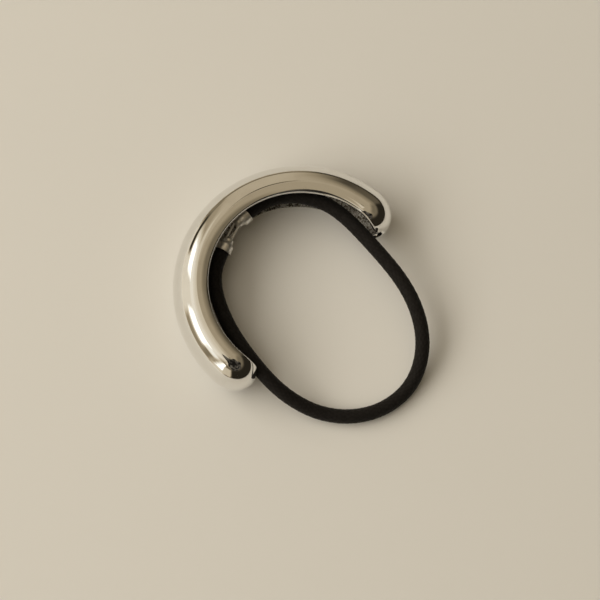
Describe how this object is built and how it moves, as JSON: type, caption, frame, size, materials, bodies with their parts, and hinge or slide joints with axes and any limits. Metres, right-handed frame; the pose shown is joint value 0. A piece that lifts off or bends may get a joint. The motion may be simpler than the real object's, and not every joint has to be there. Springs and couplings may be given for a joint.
{
  "type": "ponytail cuff",
  "caption": "Ponytail cuff: a polished hollow cast C with domed ends, open on its inner side, that carries a black elastic loop joined behind the crown by crimp caps and a wire link",
  "frame": {"origin": "On the axis of the ring of hair that the cuff goes round, at the surface that the cuff lies on", "axes": "+Z is the ring's axis and points up from that surface, the crown of the C faces -Y, its mouth and the free loop of the elastic face +Y, and +X runs from one end of the C to the other"},
  "size_m": [0.0616, 0.0672, 0.014],
  "materials": {
    "polished_alloy": "mirror polish outside, rough as cast inside the channel",
    "black_elastic": "fine matt braid",
    "cap_metal": "bright plated steel"
  },
  "bodies": {
    "root": {"cuff_shell": "polished_alloy", "elastic_band": "black_elastic", "cord_cap_left": "cap_metal", "cord_cap_right": "cap_metal", "cap_link": "cap_metal"}
  },
  "joints": []
}
